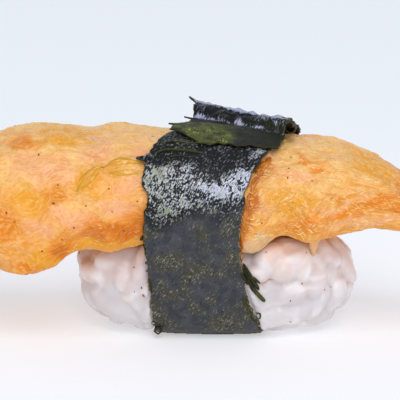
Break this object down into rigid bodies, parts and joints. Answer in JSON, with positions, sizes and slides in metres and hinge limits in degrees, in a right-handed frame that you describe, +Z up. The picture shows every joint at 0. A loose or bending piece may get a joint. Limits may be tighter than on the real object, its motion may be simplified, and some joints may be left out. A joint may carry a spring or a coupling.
{
  "type": "tempura salmon nigiri",
  "caption": "Long slice of battered fried salmon on a pressed ball of sushi rice, both wrapped round the middle by a strip of dark nori with its free end lapped over the top.",
  "frame": {"origin": "on the table, under the middle of the rice ball, at the centre of the flat underside of the nori strip", "axes": "+X along the salmon slice towards its tapered tail, +Y to the back, away from the side where the strip's shreds hang, +Z up"},
  "size_m": [0.0802, 0.031, 0.0348],
  "materials": {
    "rice": "moist, milky white, slightly glossy grains",
    "fried_batter": "golden fried batter with a thin sheen of oil",
    "nori": "dark blue-green pressed seaweed with a gritty gloss"
  },
  "bodies": {
    "root": {"rice": "rice", "salmon": "fried_batter", "nori_band": "nori"}
  },
  "joints": []
}
